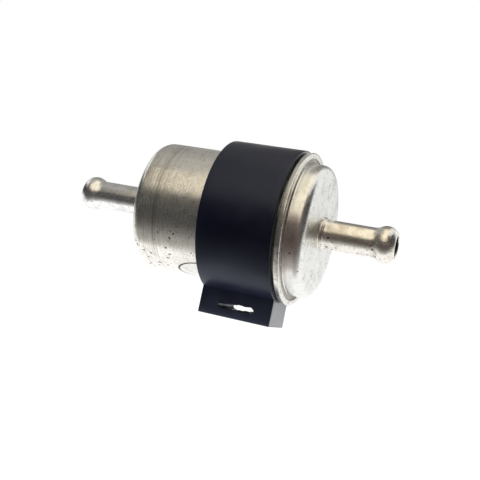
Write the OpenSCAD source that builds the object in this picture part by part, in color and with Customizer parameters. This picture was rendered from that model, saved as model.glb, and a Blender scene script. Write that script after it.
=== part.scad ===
// In-line fuel filter: a seamed metal can with two hose nipples, held in a rubber ring with a foot.
// Millimetres. X runs along the filter from the inlet to the outlet, +Z is up.
// The origin is the middle of the foot's bottom face, under the middle of the holder.

/* [Can] */
// Outside diameter of the can
can_od = 36.2; // [34:0.1:44]
// Length of the can from its closed end to the seam
can_len = 42.15; // [40:0.05:60]
// Sheet thickness of the can and the lid
sheet = 0.5; // [0.4:0.05:0.6]
// Outside corner radius of the closed end
can_corner_r = 2.6; // [1.5:0.1:4]

/* [Lid] */
// How far the lid's wall stands outside the can's wall
lid_step = 0.05; // [0:0.05:0.4]
// Depth of the lid from its flange to its outer face
lid_depth = 6; // [5.5:0.1:10]
// Outside corner radius of the lid
lid_corner_r = 2.4; // [1.2:0.1:2.5]
// Radius of the fillet where the lid's wall meets its flange
lid_root_r = 0.8; // [0.4:0.1:1]

/* [Seam] */
// Height of the seam above the can's wall
seam_height = 2.97; // [2.6:0.01:4]
// Radial width of the turned-back edge of the can
hem_width = 1.5; // [1.2:0.1:1.6]
// Outside corner radius of the seam
seam_corner_r = 0.42; // [0.2:0.01:0.6]
// Thickness of the seal inside the seam
seam_seal_t = 0.25; // [0.2:0.05:0.5]

/* [Nipples] */
// Outside diameter of the nipple tube
tube_od = 8; // [7:0.1:10]
// Bore of the nipple tube
tube_bore = 5.8; // [5:0.1:6.2]
// Diameter over the hose bead
bead_od = 9.9; // [9.2:0.1:12]
// Outside diameter at the mouth
mouth_od = 6.7; // [6.5:0.1:7]
// Distance from the crest of the bead to the mouth
bead_to_mouth = 2.9; // [2.5:0.1:3.2]
// Radius of the hollow where the tube rises into the bead
bead_root_r = 3.5; // [1:0.1:4]
// Length of the inlet nipple outside the can
inlet_len = 24.9; // [18:0.1:35]
// Length of the outlet nipple outside the lid
outlet_len = 20.3; // [18:0.1:35]
// Height of the swaged collar above the tube, at the nipple's root
collar_height = 0.45; // [0.3:0.05:0.8]
// Length of the swaged collar
collar_len = 1.3; // [1:0.1:2]
// Radius of the brazed fillet round the collar
braze_r = 0.5; // [0.4:0.1:1.2]
// Width of the shoulder that seats each nipple against the sheet from inside
shoulder_height = 2.2; // [1.5:0.1:2.4]
// Thickness of that shoulder
shoulder_t = 0.8; // [0.5:0.1:1]

/* [Holder] */
// Width of the holder along the can
holder_width = 20.5; // [16:0.5:24]
// Wall of the holder's ring
holder_wall = 3.22; // [2.5:0.01:4.5]
// Distance from the can's closed end to the middle of the holder
holder_place = 31.3; // [28:0.1:31.5]
// Height of the filter's axis above the bottom of the foot
axis_height = 27.5; // [26:0.5:40]
// Thickness of the foot, front to back
foot_depth = 14; // [10:0.5:20]
// Length of the strap slot, along the filter
slot_len = 10.4; // [6:0.1:14]
// Height of the strap slot
slot_height = 2; // [1.5:0.1:2.5]
// Height of the slot's lower edge above the bottom of the foot
slot_up = 2.1; // [1.5:0.1:3]

/* [Filter element] */
// Number of pleats in the paper
pleats = 36; // [24:1:40]
// Thickness of the paper
paper_t = 0.35; // [0.25:0.05:0.4]
// Sheet thickness of the clip that closes the paper's seam
clip_t = 0.25; // [0.2:0.05:0.3]
// Depth of that clip's channel
clip_depth = 2.4; // [1.5:0.1:4]
// Clear space between the element and the can
flow_gap = 2; // [1.5:0.1:3]
// Sheet thickness of the end discs
disc_t = 0.4; // [0.3:0.05:0.6]
// Length of the end discs' rims
rim_len = 2; // [1.5:0.1:3]
// Thickness of the adhesive that pots the pleats
potting_t = 0.6; // [0.4:0.1:1]
// Thickness of the outer wrap
wrap_t = 0.25; // [0.2:0.05:0.4]
// Outside diameter of the perforated centre tube
core_od = 11; // [10:0.5:12]
// Wall of the centre tube
core_wall = 0.5; // [0.4:0.1:0.8]
// Hole diameter in the centre tube
core_hole_d = 2.4; // [1.5:0.1:2.6]
// Number of holes round the centre tube
core_holes_round = 6; // [4:1:6]
// Number of rows of holes
core_hole_rows = 7; // [3:1:8]
// Width of the windows in the outer wrap, round the element
window_width = 6; // [3:0.5:8]
// Number of windows round the outer wrap
windows_round = 8; // [6:1:8]
// Number of rows of windows
window_rows = 4; // [2:1:5]
// Width of the card between two rows
window_bar = 2.5; // [1.5:0.1:4]
// Height of the rubber outlet seal
seal_height = 1.7; // [1.2:0.1:2.5]
// Radial width of the outlet seal
seal_width = 2.67; // [1.5:0.01:3.5]

/* [Spring and support plate] */
// Wire diameter of the spring
wire_d = 1.1; // [0.8:0.1:1.2]
// Mean coil diameter of the spring
coil_d = 16.4; // [15.8:0.1:20]
// Number of coils, end coils included
coils = 4.5; // [4:0.5:5]
// Length of the space that the fitted spring fills
spring_len = 9; // [8.5:0.1:11]
// Thickness of the support plate
plate_t = 0.6; // [0.5:0.1:1]
// Number of arms on the support plate
plate_arms = 6; // [4:1:8]
// Width of each arm
arm_width = 4.5; // [3:0.5:6]

/* [Strainer] */
// Length of the strainer thimble
strainer_len = 9; // [6:0.5:14]
// Thickness of the strainer's woven mesh
mesh_t = 0.2; // [0.15:0.05:0.3]
// Wall of the strainer's ring
strainer_wall = 0.7; // [0.5:0.1:1]
// Length of the strainer's ring
strainer_ring_len = 2; // [1.5:0.5:3]

/* [Fits] */
// Radial clearance between the holder's ring and the can
grip_clear = 0.08; // [0.05:0.01:0.1]
// Radial clearance of pieces that are pushed or glued together
fit_clear = 0.03; // [0.02:0.01:0.08]
// Clearance between the floating element and the can, lid or spring
float_clear = 0.1; // [0.1:0.05:0.3]
// Radial clearance between the support plate's arms and the can
arm_clear = 0.3; // [0.3:0.05:0.5]

/* [Hidden] */
$fn = 96;
past = 1;

can_r = can_od / 2;
can_bore_r = can_r - sheet;
can_x0 = -holder_place;
can_x1 = can_x0 + can_len;
seam_r = can_r + seam_height;
seam_seal_x = can_x1 + sheet;
lid_x0 = seam_seal_x + seam_seal_t;
hem_x0 = lid_x0 + sheet;
hem_x1 = hem_x0 + sheet;
hem_r = seam_r - hem_width;
lid_od = can_od + 2 * lid_step;
lid_r = lid_od / 2;
lid_x1 = lid_x0 + lid_depth;
lid_in_x = lid_x1 - sheet;
tube_r = tube_od / 2;
bore_r = tube_bore / 2;
collar_r = tube_r + collar_height;
shoulder_r = tube_r + shoulder_height;
hole_r = tube_r + fit_clear;
holder_in_r = can_r + grip_clear;
holder_r = holder_in_r + holder_wall;

// The bead is an arc through its crest that ends at the mouth
bead_rise = (bead_od - mouth_od) / 2;
bead_arc_r = (bead_to_mouth * bead_to_mouth + bead_rise * bead_rise) / (2 * bead_rise);
bead_mid_r = bead_od / 2 - bead_arc_r;

// Places along X inside the can, counted from the lid inwards and from the closed end
neck_len = seal_height - shoulder_t - float_clear;
disc_x1 = lid_in_x - float_clear - seal_height;
disc_x0 = disc_x1 - disc_t;
pack_x1 = disc_x0 - potting_t;
can_in_x = can_x0 + sheet;
plate_x0 = can_in_x + spring_len;
plate_x1 = plate_x0 + plate_t;
end_x1 = plate_x1 + disc_t;
pack_x0 = end_x1 + potting_t;
pack_len = pack_x1 - pack_x0;

rim_r = can_bore_r - flow_gap;
rim_in_r = rim_r - disc_t;
wrap_r = rim_in_r - float_clear;
wrap_in_r = wrap_r - wrap_t;
pleat_r1 = wrap_in_r - float_clear - clip_t;
core_r = core_od / 2;
core_in_r = core_r - core_wall;
pleat_r0 = core_r + float_clear;
neck_r = shoulder_r + float_clear;
seal_in_r = neck_r + fit_clear;
seal_od = 2 * (seal_in_r + seal_width);

// Puts a shape that is drawn round Z on the filter's axis, its height along X
module on_axis() {
    translate([0, 0, axis_height])
        rotate([0, 90, 0])
            children();
}

// Turns a half profile: its x is the radius, its y the place along the filter
module turned() {
    on_axis()
        rotate_extrude()
            children();
}

// A half profile of a plain ring
module band(r0, r1, x0, x1) {
    translate([r0, x0])
        square([r1 - r0, x1 - x0]);
}

// A half profile of a disc with rounded edges, ra at x0 and rb at x1
module rounded_block(r, x0, x1, ra, rb) {
    band(0, r, x0 + ra, x1 - rb);
    if (ra > 0) {
        band(0, r - ra, x0, x0 + ra);
        translate([r - ra, x0 + ra])
            circle(ra);
    }
    if (rb > 0) {
        band(0, r - rb, x1 - rb, x1);
        translate([r - rb, x1 - rb])
            circle(rb);
    }
}

// A hollow fillet in the corner of a wall of radius r and a face at x; side is the way it stands out
module root_fillet(r, x, size, side) {
    difference() {
        translate([r, min(x, x + side * size)])
            square([size, size]);
        translate([r + size, x + side * size])
            circle(size);
    }
}

module holder() {
    color([0.07, 0.075, 0.09])
        difference() {
            union() {
                on_axis()
                    translate([0, 0, -holder_width / 2])
                        cylinder(h = holder_width, r = holder_r);
                translate([-holder_width / 2, -foot_depth / 2, 0])
                    cube([holder_width, foot_depth, axis_height]);
            }
            on_axis()
                translate([0, 0, -holder_width / 2 - past])
                    cylinder(h = holder_width + 2 * past, r = holder_in_r);
            translate([-slot_len / 2, -foot_depth / 2 - past, slot_up])
                cube([slot_len, foot_depth + 2 * past, slot_height]);
        }
}

// The can's wall and closed end, with its edge folded round the lid's flange
module can() {
    color([0.62, 0.61, 0.58])
        turned() {
            difference() {
                rounded_block(can_r, can_x0, can_x1 + sheet, can_corner_r, 0);
                rounded_block(can_bore_r, can_in_x, can_x1 + sheet + past, can_corner_r - sheet, 0);
                band(0, hole_r, can_x0 - past, can_in_x + past);
            }
            root_fillet(can_r, can_x1, seam_corner_r, -1);
            difference() {
                rounded_block(seam_r, can_x1, hem_x1, seam_corner_r, seam_corner_r);
                band(0, can_bore_r, can_x1 - past, hem_x1 + past);
                band(0, seam_r - sheet, seam_seal_x, hem_x0);
                band(0, hem_r, seam_seal_x, hem_x1 + past);
            }
        }
}

module lid() {
    color([0.78, 0.77, 0.74])
        turned() {
            difference() {
                rounded_block(lid_r, lid_x0, lid_x1, 0, lid_corner_r);
                rounded_block(lid_r - sheet, lid_x0 - past, lid_in_x, 0, lid_corner_r - sheet);
                band(0, hole_r, lid_in_x - past, lid_x1 + past);
            }
            band(lid_r - sheet, seam_r - sheet - fit_clear, lid_x0, hem_x0);
            root_fillet(lid_r, hem_x0, lid_root_r, 1);
        }
}

module seam_seal() {
    color([0.12, 0.12, 0.12])
        turned()
            band(can_r, seam_r - sheet - fit_clear, seam_seal_x, lid_x0);
}

// A nipple's half profile from its inner shoulder at 0 out to its mouth
module nipple_profile(len) {
    seat = shoulder_t + sheet;
    mouth = seat + len;
    crest = mouth - bead_to_mouth;
    root_mid_r = tube_r + bead_root_r;
    reach = bead_arc_r + bead_root_r;
    root_x = crest - sqrt(reach * reach - pow(root_mid_r - bead_mid_r, 2));
    share = bead_root_r / reach;
    touch_r = root_mid_r + share * (bead_mid_r - root_mid_r);
    touch_x = root_x + share * (crest - root_x);
    band(bore_r, shoulder_r, 0, shoulder_t);
    band(bore_r, tube_r, 0, crest);
    band(bore_r, collar_r, seat, seat + collar_len);
    intersection() {
        translate([bead_mid_r, crest])
            circle(bead_arc_r);
        band(bore_r, bead_od, touch_x, mouth);
    }
    difference() {
        polygon([[bore_r, root_x], [tube_r, root_x], [touch_r, touch_x], [bore_r, touch_x]]);
        translate([root_mid_r, root_x])
            circle(bead_root_r);
    }
}

module inlet_nipple() {
    color([0.72, 0.7, 0.66])
        turned()
            translate([0, can_in_x + shoulder_t])
                mirror([0, 1])
                    nipple_profile(inlet_len);
}

module outlet_nipple() {
    color([0.72, 0.7, 0.66])
        turned()
            translate([0, lid_in_x - shoulder_t])
                nipple_profile(outlet_len);
}

module inlet_braze() {
    color([0.66, 0.63, 0.55])
        turned()
            root_fillet(collar_r, can_x0, braze_r, -1);
}

module outlet_braze() {
    color([0.66, 0.63, 0.55])
        turned()
            root_fillet(collar_r, lid_x1, braze_r, 1);
}

// Place along X of the wire's middle after u turns: close end coils and open coils between
function coil_x(u) =
    let (end_turns = 0.75,
         end_pitch = wire_d + float_clear,
         start = can_in_x + wire_d / 2 + fit_clear,
         travel = spring_len - wire_d - fit_clear - float_clear,
         open_pitch = (travel - 2 * end_turns * end_pitch) / (coils - 2 * end_turns))
    start + end_pitch * (min(u, end_turns) + max(u - coils + end_turns, 0))
          + open_pitch * max(min(u, coils - end_turns) - end_turns, 0);

module spring() {
    sides = 8;
    steps_per_turn = 28;
    steps = coils * steps_per_turn;
    // The flats of the wire's polygon lie on its true surface
    wire_r = wire_d / 2;
    points = [
        for (i = [0:steps])
            for (j = [0:sides - 1])
                let (turn = 360 * i / steps_per_turn,
                     r = coil_d / 2 + wire_r * cos(360 * j / sides))
                [r * cos(turn), r * sin(turn), coil_x(i / steps_per_turn) + wire_r * sin(360 * j / sides)]
    ];
    walls = [
        for (i = [0:steps - 1])
            for (j = [0:sides - 1])
                let (a = i * sides + j,
                     b = i * sides + (j + 1) % sides)
                [a, b, b + sides, a + sides]
    ];
    first = [for (j = [sides - 1:-1:0]) j];
    last = [for (j = [0:sides - 1]) steps * sides + j];
    color([0.35, 0.35, 0.36])
        on_axis()
            polyhedron(points, concat(walls, [first, last]), convexity = 10);
}

// Star-shaped plate that centres the element in the can and carries the spring
module support_plate() {
    locate_r = coil_d / 2 + wire_d / 2 + arm_clear;
    hub_r = locate_r + plate_t;
    color([0.7, 0.7, 0.68])
        on_axis() {
            translate([0, 0, plate_x0])
                intersection() {
                    union() {
                        cylinder(h = plate_t, r = hub_r);
                        for (i = [0:plate_arms - 1])
                            rotate([0, 0, i * 360 / plate_arms])
                                translate([0, -arm_width / 2, 0])
                                    cube([can_r, arm_width, plate_t]);
                    }
                    cylinder(h = plate_t, r = can_bore_r - arm_clear);
                }
            rotate_extrude()
                band(locate_r, hub_r, plate_x0 - wire_d, plate_x0);
        }
}

module inlet_end_disc() {
    color([0.75, 0.74, 0.7])
        turned() {
            band(0, rim_r, plate_x1, end_x1);
            band(rim_in_r, rim_r, end_x1, plate_x1 + rim_len);
        }
}

module inlet_potting() {
    color([0.55, 0.2, 0.12])
        turned()
            band(0, rim_in_r, end_x1, pack_x0);
}

module outlet_potting() {
    color([0.55, 0.2, 0.12])
        turned()
            band(core_in_r, rim_in_r, pack_x1, disc_x0);
}

// Cupped disc with a neck that carries the outlet seal
module outlet_end_disc() {
    color([0.75, 0.74, 0.7])
        turned() {
            band(neck_r - disc_t, rim_r, disc_x0, disc_x1);
            band(rim_in_r, rim_r, disc_x1 - rim_len, disc_x0);
            band(neck_r - disc_t, neck_r, disc_x1, disc_x1 + neck_len);
        }
}

module outlet_seal() {
    color([0.1, 0.1, 0.1])
        turned()
            band(seal_in_r, seal_od / 2, disc_x1, disc_x1 + seal_height);
}

// Point on the paper at radius r, side sheet thicknesses round from the middle of fold k
function fold(k, r, side) =
    let (a = 180 * k / pleats + side * paper_t / r * 180 / PI)
    [r * cos(a), r * sin(a)];

// Even folds are the outer tips and odd folds the inner ones; a tip is two sheets wide
module filter_paper() {
    outer = [
        for (k = [0:2:2 * pleats - 2])
            each [fold(k, pleat_r1, -1), fold(k, pleat_r1, 1), fold(k + 1, pleat_r0 + paper_t, 0)]
    ];
    inner = [
        for (k = [0:2:2 * pleats - 2])
            each [fold(k, pleat_r1 - paper_t, 0), fold(k + 1, pleat_r0, -1), fold(k + 1, pleat_r0, 1)]
    ];
    color([0.86, 0.8, 0.62])
        on_axis()
            translate([0, 0, pack_x0])
                linear_extrude(pack_len)
                    difference() {
                        polygon(outer);
                        polygon(inner);
                    }
}

// Channel that pinches the two end pleats together
module seam_clip() {
    // Half the channel's opening, in thicknesses of the paper that it pinches
    half_gap_sheets = 1.7;
    inside = half_gap_sheets * paper_t;
    outside = inside + clip_t;
    color([0.72, 0.72, 0.7])
        on_axis()
            translate([0, 0, pack_x0])
                linear_extrude(pack_len)
                    difference() {
                        translate([pleat_r1 - clip_depth, -outside])
                            square([clip_depth + clip_t, 2 * outside]);
                        translate([pleat_r1 - clip_depth - past, -inside])
                            square([clip_depth + past, 2 * inside]);
                    }
}

// A plain tube round Z
module sleeve(r0, r1, len) {
    difference() {
        cylinder(h = len, r = r1);
        translate([0, 0, -past])
            cylinder(h = len + 2 * past, r = r0);
    }
}

// Rows of round holes, alternate rows turned by half a step. The first hole stands a quarter
// step off the tube's own seam, which keeps that whole.
module centre_tube() {
    row_pitch = pack_len / (core_hole_rows + 1);
    color([0.7, 0.7, 0.68])
        on_axis()
            translate([0, 0, pack_x0])
                difference() {
                    sleeve(core_in_r, core_r, pack_len);
                    for (j = [1:core_hole_rows])
                        for (i = [0:core_holes_round - 1])
                            translate([0, 0, j * row_pitch])
                                rotate([0, 90, (i + 0.25 + (j % 2) / 2) * 360 / core_holes_round])
                                    cylinder(h = core_r + past, d = core_hole_d);
                }
}

// Card sleeve with rows of square windows
module outer_wrap() {
    window_len = (pack_len - (window_rows + 1) * window_bar) / window_rows;
    color([0.8, 0.74, 0.58])
        on_axis()
            translate([0, 0, pack_x0])
                difference() {
                    sleeve(wrap_in_r, wrap_r, pack_len);
                    for (j = [0:window_rows - 1])
                        for (i = [0:windows_round - 1])
                            rotate([0, 0, (i + 0.5) * 360 / windows_round])
                                translate([0, -window_width / 2, window_bar + j * (window_len + window_bar)])
                                    cube([rim_r, window_width, window_len]);
                }
}

module strainer_ring() {
    color([0.85, 0.84, 0.78])
        turned()
            band(core_in_r - fit_clear - strainer_wall, core_in_r - fit_clear, pack_x1 - strainer_ring_len, pack_x1);
}

// Thimble of woven mesh, closed at its inner end, held in the strainer's ring
module strainer_mesh() {
    mesh_r = core_in_r - fit_clear - strainer_wall;
    color([0.8, 0.8, 0.78])
        turned() {
            band(mesh_r - mesh_t, mesh_r, pack_x1 - strainer_len, pack_x1);
            band(0, mesh_r, pack_x1 - strainer_len, pack_x1 - strainer_len + mesh_t);
        }
}

holder();
can();
lid();
seam_seal();
inlet_nipple();
inlet_braze();
outlet_nipple();
outlet_braze();
spring();
support_plate();
inlet_end_disc();
inlet_potting();
filter_paper();
seam_clip();
centre_tube();
outer_wrap();
outlet_potting();
outlet_end_disc();
outlet_seal();
strainer_ring();
strainer_mesh();
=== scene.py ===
"""In-line fuel filter: a seamed metal can with two hose nipples, in a rubber ring with a foot."""

import logging
import math
import random
from dataclasses import dataclass, field
from enum import Enum
from typing import Any, Callable, Sequence

import bmesh
import bpy
from mathutils import Matrix, Vector, noise

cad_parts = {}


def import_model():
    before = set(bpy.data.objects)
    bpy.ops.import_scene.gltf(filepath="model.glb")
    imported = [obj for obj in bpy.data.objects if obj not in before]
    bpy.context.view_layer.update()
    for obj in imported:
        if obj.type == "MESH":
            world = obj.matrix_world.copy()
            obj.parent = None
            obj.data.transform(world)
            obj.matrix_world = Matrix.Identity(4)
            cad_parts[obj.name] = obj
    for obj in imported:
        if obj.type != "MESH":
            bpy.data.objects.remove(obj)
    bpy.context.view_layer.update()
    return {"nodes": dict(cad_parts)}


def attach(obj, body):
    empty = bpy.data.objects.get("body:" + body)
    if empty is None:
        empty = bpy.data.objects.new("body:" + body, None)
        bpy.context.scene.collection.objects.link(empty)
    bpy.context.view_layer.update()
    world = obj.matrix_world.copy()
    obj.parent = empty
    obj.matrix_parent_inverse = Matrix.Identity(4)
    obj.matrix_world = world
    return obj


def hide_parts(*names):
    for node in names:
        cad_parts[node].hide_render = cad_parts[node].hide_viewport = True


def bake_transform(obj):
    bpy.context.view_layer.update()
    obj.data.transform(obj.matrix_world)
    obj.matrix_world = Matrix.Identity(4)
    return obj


LOG = logging.getLogger("fuel_filter")
MM = 0.001
AXIS_HEIGHT = 27.5
SAME_POINT = 1e-4
Point = tuple[float, float]


class Turned(Enum):
    """How many flats a turned piece is drawn with, by its size."""

    LARGE = 256
    SMALL = 128


class Side(Enum):
    """Which end of the filter a piece is on, as the sign of its way out along X."""

    INLET = -1
    OUTLET = 1


def linear(code: str) -> tuple[float, float, float, float]:
    """Turns an sRGB hex colour to linear.

    Args:
        code: the colour, such as "C8C4BA".

    Returns:
        Red, green, blue and an alpha of 1, linear.
    """
    parts = [int(code[i:i + 2], 16) / 255 for i in (0, 2, 4)]
    low = 0.04045
    values = [p / 12.92 if p <= low else ((p + 0.055) / 1.055) ** 2.4 for p in parts]
    return values[0], values[1], values[2], 1.0


def per_mm(size: float) -> float:
    """Texture scale that repeats about every `size` millimetres."""
    return 1 / (size * MM)


def add_node(tree: Any, kind: str, inputs: dict[Any, Any] | None = None, **settings: Any) -> Any:
    """Adds a shader node with its settings and links.

    Args:
        tree: the node tree.
        kind: the node's type.
        inputs: a value, or an output socket to link, for each input by name or number.
        settings: the node's own properties.

    Returns:
        The new node.
    """
    node = tree.nodes.new(kind)
    for name, value in settings.items():
        setattr(node, name, value)
    for key, value in (inputs or {}).items():
        if isinstance(value, bpy.types.NodeSocket):
            tree.links.new(value, node.inputs[key])
        else:
            node.inputs[key].default_value = value
    return node


@dataclass
class Surface:
    """A material under way: its tree, its principled shader and the sockets that feed it."""

    name: str
    material: Any = None
    tree: Any = None
    shader: Any = None
    place: Any = None

    def __post_init__(self) -> None:
        """Makes the empty material."""
        self.material = bpy.data.materials.new(self.name)
        self.material.use_nodes = True
        self.tree = self.material.node_tree
        self.tree.nodes.clear()
        output = self.tree.nodes.new("ShaderNodeOutputMaterial")
        self.shader = self.tree.nodes.new("ShaderNodeBsdfPrincipled")
        self.tree.links.new(self.shader.outputs[0], output.inputs["Surface"])
        self.place = self.add("ShaderNodeTexCoord").outputs["Object"]

    def add(self, kind: str, inputs: dict[Any, Any] | None = None, **settings: Any) -> Any:
        """Adds a node to this material's tree."""
        return add_node(self.tree, kind, inputs, **settings)

    def stretched(self, size: Sequence[float], turn: Sequence[float] = (0, 0, 0)) -> Any:
        """Coordinates scaled so that a pattern repeats about every size[i] millimetres.

        Args:
            size: the pattern's size along X, Y and Z in millimetres.
            turn: rotation of the pattern in radians.

        Returns:
            The vector socket.
        """
        turned = self.add("ShaderNodeMapping", {"Vector": self.place, "Rotation": turn})
        scale = [per_mm(s) for s in size]
        return self.add("ShaderNodeMapping", {"Vector": turned.outputs[0], "Scale": scale}).outputs[0]

    def clouds(self, vector: Any, detail: float = 2.0, roughness: float = 0.5) -> Any:
        """A noise pattern's value at a vector."""
        inputs = {"Vector": vector, "Scale": 1.0, "Detail": detail, "Roughness": roughness}
        return self.add("ShaderNodeTexNoise", inputs).outputs[0]

    def between(self, value: Any, low: float, high: float, start: float = 0.0, end: float = 1.0) -> Any:
        """Maps a value from low..high to start..end, smoothly and without going past either."""
        inputs = {0: value, 1: low, 2: high, 3: start, 4: end}
        return self.add("ShaderNodeMapRange", inputs, interpolation_type="SMOOTHSTEP").outputs[0]

    def blend(self, share: Any, first: Any, second: Any) -> Any:
        """Mixes two colours."""
        inputs = {0: share, 6: first, 7: second}
        return self.add("ShaderNodeMix", inputs, data_type="RGBA").outputs[2]

    def sum(self, first: Any, second: Any, operation: str = "ADD") -> Any:
        """Adds two values, or joins them by another operation."""
        return self.add("ShaderNodeMath", {0: first, 1: second}, operation=operation).outputs[0]

    def specks(self, spacing: float, radius: float, share: float) -> Any:
        """Scattered round specks.

        Args:
            spacing: the distance between places where a speck may be, in millimetres.
            radius: the largest radius of a speck, in millimetres.
            share: the part of those places that has one.

        Returns:
            A value of 1 in a speck and 0 outside.
        """
        wander = self.clouds(self.stretched((radius,) * 3), 1.0)
        cells = self.add("ShaderNodeTexVoronoi", {"Vector": self.stretched((spacing,) * 3), "Scale": 1.0})
        far = self.sum(self.between(wander, 0.25, 0.75, 0.6, 1.7), cells.outputs["Distance"], "MULTIPLY")
        near = self.between(far, radius / spacing * 0.7, radius / spacing, 1.0, 0.0)
        chosen = self.add("ShaderNodeSeparateColor", {0: cells.outputs["Color"]}).outputs[0]
        kept = self.sum(chosen, 1 - share, "GREATER_THAN")
        return self.sum(near, kept, "MULTIPLY")

    def scratches(self, turn: float, length: float, width: float, share: float) -> Any:
        """Fine straight scratches that run in one direction across X faces.

        Args:
            turn: the scratches' direction round X, in radians.
            length: their length in millimetres.
            width: the spacing at which they repeat, in millimetres.
            share: how much of the surface they take.

        Returns:
            A value of 1 in a scratch and 0 outside.
        """
        lines = self.clouds(self.stretched((length, length, width), (turn, 0.1, 0.1)), 1.0)
        return self.between(lines, 0.62 - share, 0.7 - share * 0.6)

    def bump(self, height: Any, depth: float, before: Any = None) -> Any:
        """Raises the surface by a pattern.

        Args:
            height: the pattern, from 0 to 1.
            depth: what a step from 0 to 1 stands for, in millimetres.
            before: the normal that this one adds to.

        Returns:
            The normal socket.
        """
        inputs = {"Height": height, "Strength": 1.0, "Distance": depth * MM}
        if before is not None:
            inputs["Normal"] = before
        return self.add("ShaderNodeBump", inputs).outputs[0]

    def set(self, **values: Any) -> Any:
        """Sets or links the shader's sockets; an underscore in a name stands for a space.

        Returns:
            The finished material.
        """
        for name, value in values.items():
            socket = self.shader.inputs[name.replace("_", " ")]
            if isinstance(value, bpy.types.NodeSocket):
                self.tree.links.new(value, socket)
            else:
                socket.default_value = value
        return self.material


@dataclass(frozen=True)
class DrawnSteel:
    """Deep-drawn tinned steel: satin, faint lines round it from the die, stains and dark pits."""

    name: str = "can_drawn_tinned_steel"
    clean: str = "F4F2ED"
    stained: str = "C4C0B7"
    pit: str = "4B4843"
    roughness: float = 0.28
    band: str = "8C8780"
    die_line: float = 0.55
    die_band: float = 0.9
    grain: float = 0.24
    stain_size: float = 2.2
    wall_radius: float = 18.1
    stamp: str = "2B2927"
    oval_place: tuple[float, float] = (-10.4, -72.5)
    oval_size: tuple[float, float] = (8.3, 5.5)
    oval_line: float = 0.26

    def oval(self, s: Surface) -> tuple[Any, Any]:
        """A blank oval stamped in the wall: 1 on its line, and 0 inside it."""
        place = s.add("ShaderNodeSeparateXYZ", {0: s.place}).outputs
        down = s.sum(place[1], -1.0, "MULTIPLY")
        up = s.sum(place[2], AXIS_HEIGHT * MM, "SUBTRACT")
        angle = s.sum(s.sum(up, down, "ARCTAN2"), math.radians(self.oval_place[1]), "SUBTRACT")
        across = s.sum(angle, self.wall_radius / self.oval_size[1], "MULTIPLY")
        middle = s.sum(place[0], self.oval_place[0] * MM, "SUBTRACT")
        along = s.sum(middle, 1 / (self.oval_size[0] * MM), "MULTIPLY")
        square = s.sum(s.sum(along, 2.0, "POWER"), s.sum(across, 2.0, "POWER"), "ADD")
        off = s.sum(s.sum(s.sum(square, 0.5, "POWER"), 1.0, "SUBTRACT"), 0.0, "ABSOLUTE")
        line = self.oval_line / self.oval_size[1]
        return s.between(off, line * 0.5, line, 1.0, 0.0), s.between(square, 0.9, 1.3)

    def make(self) -> Any:
        """Builds the material."""
        s = Surface(self.name)
        along = s.add("ShaderNodeSeparateXYZ", {0: s.place}).outputs[0]
        near_end = s.between(along, -25 * MM, -19 * MM, 1.0, 0.16)
        lines = s.sum(s.clouds(s.stretched((self.die_line, 40, 40)), 2.0), 0.5, "SUBTRACT")
        lines = s.sum(s.sum(lines, near_end, "MULTIPLY"), 0.5, "ADD")
        height = s.add("ShaderNodeSeparateXYZ", {0: s.place}).outputs[2]
        lower = s.between(height, (AXIS_HEIGHT - 8) * MM, (AXIS_HEIGHT - 5) * MM, 1.0, 0.15)
        grain = s.clouds(s.stretched((self.grain,) * 3), 3.0, 0.65)
        stains = s.clouds(s.stretched((self.stain_size,) * 3), 4.0, 0.6)
        pits = s.specks(1.8, 0.42, 0.75)
        dots = s.specks(0.9, 0.16, 0.3)
        marks = s.sum(pits, s.sum(dots, 0.7, "MULTIPLY"), "MAXIMUM")
        stamp, outside = self.oval(s)
        on_wall = s.between(along, 9.5 * MM, 10.5 * MM, 1.0, 0.3)
        marks = s.sum(s.sum(marks, s.sum(lower, on_wall, "MULTIPLY"), "MULTIPLY"), outside, "MULTIPLY")
        tone = s.sum(s.between(stains, 0.45, 0.8, 0.0, 0.6), s.between(grain, 0.42, 0.62, 0.0, 0.8), "ADD")
        tone = s.sum(tone, s.between(lines, 0.5, 0.75, 0.0, 1.2), "ADD")
        bands = s.between(s.clouds(s.stretched((self.die_band, 60, 60)), 1.0), 0.48, 0.64, 0.0, 0.3)
        bands = s.sum(bands, s.between(along, -25 * MM, -20 * MM, 1.0, 0.1), "MULTIPLY")
        colour = s.blend(tone, linear(self.clean), linear(self.stained))
        colour = s.blend(bands, colour, linear(self.band))
        colour = s.blend(marks, colour, linear(self.pit))
        colour = s.blend(stamp, colour, linear(self.stamp))
        rough = s.sum(s.between(grain, 0.3, 0.7, -0.06, 0.08), self.roughness, "ADD")
        rough = s.sum(rough, s.between(lines, 0.3, 0.7, -0.05, 0.06), "ADD")
        normal = s.bump(lines, 0.009)
        normal = s.bump(grain, 0.007, normal)
        normal = s.bump(s.sum(marks, stamp, "MAXIMUM"), -0.05, normal)
        return s.set(Base_Color=colour, Metallic=1.0, Roughness=rough, Normal=normal)


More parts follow.
